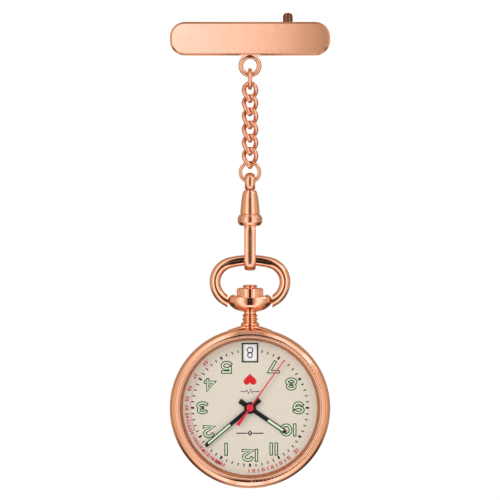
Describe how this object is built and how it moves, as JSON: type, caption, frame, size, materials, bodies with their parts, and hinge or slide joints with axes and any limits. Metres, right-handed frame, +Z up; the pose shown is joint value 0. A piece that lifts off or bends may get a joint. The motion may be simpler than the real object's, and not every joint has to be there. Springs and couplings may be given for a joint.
{
  "type": "fob watch",
  "caption": "Round pendant watch with an upside-down dial and date window, hung from a brooch bar by a curb chain and a swivel clasp.",
  "frame": {"origin": "on the axis of the brooch pin, half way along the bar and straight above the middle of the watch", "axes": "+Z up along the hanging chain, +X along the brooch pin towards its catch, the dial faces -Y"},
  "size_m": [0.031, 0.0071, 0.092],
  "materials": {
    "rose_gold": "polished rose gold plating",
    "brooch_steel": "polished",
    "small_steel": "fine brushed",
    "spring_steel": "blued grey",
    "crystal_glass": "polished, anti-reflection coated",
    "seal_rubber": "matte",
    "dial_enamel": "fine grained cream",
    "hand_black": "gloss black",
    "hand_red": "gloss red",
    "hand_lume": "pale green luminous paint",
    "date_white": "printed white",
    "movement_brass": "fine grained gilt",
    "movement_nickel": "nickel plated, striped",
    "gear_brass": "circular grained",
    "holder_plastic": "moulded",
    "board_green": "solder mask",
    "coil_copper": "lacquered wire",
    "cell_steel": "bright steel",
    "magnet_grey": "sintered"
  },
  "bodies": {
    "brooch": {"brooch_bar": "rose_gold", "pin_bracket": "rose_gold", "pin_rivet": "rose_gold", "catch_body": "rose_gold"},
    "pin": {"brooch_pin": "brooch_steel"},
    "lock": {"catch_lock": "rose_gold"},
    "upper_ring": {"top_ring": "rose_gold"},
    "link_1": {"chain_link_1": "rose_gold"},
    "link_2": {"chain_link_2": "rose_gold"},
    "link_3": {"chain_link_3": "rose_gold"},
    "link_4": {"chain_link_4": "rose_gold"},
    "link_5": {"chain_link_5": "rose_gold"},
    "link_6": {"chain_link_6": "rose_gold"},
    "bottom_ring": {"lower_ring": "rose_gold"},
    "eye": {"swivel_eye": "rose_gold"},
    "clasp": {"swivel_body": "rose_gold", "gate_pin": "small_steel", "gate_spring": "spring_steel"},
    "gate": {"swivel_gate": "rose_gold"},
    "bow_body": {"bow": "rose_gold"},
    "case": {"pendant": "rose_gold", "case_band": "rose_gold", "bezel": "rose_gold", "crystal": "crystal_glass", "crystal_gasket": "seal_rubber", "case_back": "rose_gold", "back_gasket": "seal_rubber", "movement_ring": "holder_plastic", "dial": "dial_enamel", "main_plate": "movement_brass", "train_bridge": "movement_nickel", "bridge_screws": "small_steel", "battery": "cell_steel", "battery_clamp": "small_steel", "circuit_board": "board_green", "quartz_can": "small_steel", "coil": "coil_copper", "coil_core": "small_steel", "stator": "small_steel", "date_jumper": "spring_steel"},
    "crown_slide": {"crown_gasket": "seal_rubber"},
    "crown_body": {"crown": "rose_gold", "setting_stem": "small_steel"},
    "pinion": {"sliding_pinion": "small_steel"},
    "lever": {"setting_lever": "small_steel"},
    "seconds": {"second_hand": "hand_red", "seconds_wheel": "gear_brass"},
    "intermediate": {"intermediate_wheel": "gear_brass"},
    "motor_rotor": {"rotor": "magnet_grey"},
    "third": {"third_wheel": "gear_brass"},
    "centre": {"centre_wheel": "gear_brass", "minute_hand": "hand_black", "minute_lume": "hand_lume"},
    "minute_work": {"minute_wheel": "gear_brass"},
    "hours": {"hour_wheel": "gear_brass", "hour_hand": "hand_black", "hour_lume": "hand_lume"},
    "date_drive": {"date_wheel": "holder_plastic"},
    "setting": {"setting_wheel": "small_steel"},
    "date": {"date_ring": "date_white"}
  },
  "joints": [
    {"name": "pin_swing", "type": "hinge", "parent": "brooch", "child": "pin", "pos_m": [-0.0095, 0, 0], "axis": [0, 0, 1], "range_deg": [0, 70]},
    {"name": "lock_turn", "type": "hinge", "parent": "brooch", "child": "lock", "pos_m": [0.00735, 0, 0], "axis": [-1, 0, 0], "range_deg": [0, 80]},
    {"name": "upper_ring_swing", "type": "hinge", "parent": "brooch", "child": "upper_ring", "pos_m": [0, -0.0023, -0.0082], "axis": [1, 0, 0], "range_deg": [-35, 35]},
    {"name": "link_1_swing", "type": "hinge", "parent": "upper_ring", "child": "link_1", "pos_m": [0, -0.0023, -0.01071], "axis": [0, 1, 0], "range_deg": [-15, 15]},
    {"name": "link_2_swing", "type": "hinge", "parent": "link_1", "child": "link_2", "pos_m": [0, -0.0023, -0.01324], "axis": [0.2588, 0.9659, 0], "range_deg": [-12, 12]},
    {"name": "link_3_swing", "type": "hinge", "parent": "link_2", "child": "link_3", "pos_m": [0, -0.0023, -0.01495], "axis": [0.9063, -0.4226, 0], "range_deg": [-12, 12]},
    {"name": "link_4_swing", "type": "hinge", "parent": "link_3", "child": "link_4", "pos_m": [0, -0.0023, -0.01835], "axis": [0.2588, 0.9659, 0], "range_deg": [-12, 12]},
    {"name": "link_5_swing", "type": "hinge", "parent": "link_4", "child": "link_5", "pos_m": [0, -0.0023, -0.02005], "axis": [0.9063, -0.4226, 0], "range_deg": [-12, 12]},
    {"name": "link_6_swing", "type": "hinge", "parent": "link_5", "child": "link_6", "pos_m": [0, -0.0023, -0.02345], "axis": [0.2588, 0.9659, 0], "range_deg": [-12, 12]},
    {"name": "lower_ring_swing", "type": "hinge", "parent": "link_6", "child": "bottom_ring", "pos_m": [0, -0.0023, -0.0252], "axis": [1, 0, 0], "range_deg": [-20, 20]},
    {"name": "eye_swing", "type": "hinge", "parent": "bottom_ring", "child": "eye", "pos_m": [0, -0.0023, -0.02888], "axis": [1, 0, 0], "range_deg": [-30, 30]},
    {"name": "clasp_spin", "type": "hinge", "parent": "eye", "child": "clasp", "pos_m": [0, -0.0023, -0.0326], "axis": [0, 0, 1], "continuous": true},
    {"name": "gate_open", "type": "hinge", "parent": "clasp", "child": "gate", "pos_m": [0, -0.00085, -0.0364], "axis": [-1, 0, 0], "range_deg": [0, 25], "stiffness_Nm_per_rad": 0.004, "springref_deg": -17.19, "deforming": ["gate_spring"]},
    {"name": "bow_sway", "type": "hinge", "parent": "clasp", "child": "bow_body", "pos_m": [0, -0.0023, -0.06008], "axis": [0, 1, 0], "range_deg": [-9, 9]},
    {"name": "case_swing", "type": "hinge", "parent": "bow_body", "child": "case", "pos_m": [0, -0.0023, -0.052], "axis": [1, 0, 0], "range_deg": [-85, 85]},
    {"name": "crown_pull", "type": "slide", "parent": "case", "child": "crown_slide", "axis": [0, 0, 1], "range_m": [0, 0.001]},
    {"name": "crown_turn", "type": "hinge", "parent": "crown_slide", "child": "crown_body", "pos_m": [0, -0.0023, -0.0516], "axis": [0, 0, 1], "continuous": true},
    {"name": "pinion_turn", "type": "hinge", "parent": "case", "child": "pinion", "pos_m": [0, -0.0023, -0.0656], "axis": [0, 0, 1], "continuous": true},
    {"name": "lever_tip", "type": "hinge", "parent": "case", "child": "lever", "pos_m": [0.0025, -0.0023, -0.06335], "axis": [0, 1, 0], "range_deg": [0, 23]},
    {"name": "seconds_turn", "type": "hinge", "parent": "case", "child": "seconds", "pos_m": [0, -0.0023, -0.0726], "axis": [0, 1, 0], "continuous": true},
    {"name": "intermediate_turn", "type": "hinge", "parent": "case", "child": "intermediate", "pos_m": [-0.00174, -0.0023, -0.07053], "axis": [0, 1, 0], "continuous": true},
    {"name": "rotor_turn", "type": "hinge", "parent": "case", "child": "motor_rotor", "pos_m": [-0.00392, -0.0023, -0.06927], "axis": [0, 1, 0], "continuous": true},
    {"name": "third_turn", "type": "hinge", "parent": "case", "child": "third", "pos_m": [-0.00345, -0.0023, -0.07386], "axis": [0, 1, 0], "continuous": true},
    {"name": "centre_turn", "type": "hinge", "parent": "case", "child": "centre", "pos_m": [0, -0.0023, -0.0726], "axis": [0, 1, 0], "continuous": true},
    {"name": "minute_work_turn", "type": "hinge", "parent": "case", "child": "minute_work", "pos_m": [0.0013, -0.0023, -0.07035], "axis": [0, 1, 0], "continuous": true},
    {"name": "hours_turn", "type": "hinge", "parent": "case", "child": "hours", "pos_m": [0, -0.0023, -0.0726], "axis": [0, 1, 0], "continuous": true},
    {"name": "date_drive_turn", "type": "hinge", "parent": "case", "child": "date_drive", "pos_m": [-0.00451, -0.0023, -0.07424], "axis": [0, 1, 0], "continuous": true},
    {"name": "setting_turn", "type": "hinge", "parent": "case", "child": "setting", "pos_m": [0.00082, -0.0023, -0.0674], "axis": [0, 1, 0], "continuous": true},
    {"name": "date_turn", "type": "hinge", "parent": "case", "child": "date", "pos_m": [0, -0.0023, -0.0726], "axis": [0, 1, 0], "continuous": true, "deforming": ["date_jumper"]}
  ],
  "couplings": [
    {"joint": "intermediate_turn", "follows": "seconds_turn", "ratio": -5},
    {"joint": "rotor_turn", "follows": "seconds_turn", "ratio": 30},
    {"joint": "third_turn", "follows": "seconds_turn", "ratio": -0.13333},
    {"joint": "centre_turn", "follows": "seconds_turn", "ratio": 0.016667},
    {"joint": "minute_work_turn", "follows": "seconds_turn", "ratio": -0.0055556},
    {"joint": "hours_turn", "follows": "seconds_turn", "ratio": 0.0013889},
    {"joint": "date_drive_turn", "follows": "seconds_turn", "ratio": -0.00069444},
    {"joint": "setting_turn", "follows": "seconds_turn", "ratio": 0.010417},
    {"joint": "pinion_turn", "follows": "crown_turn", "ratio": 1},
    {"joint": "lever_tip", "follows": "crown_pull", "rad_per_m": 400}
  ]
}
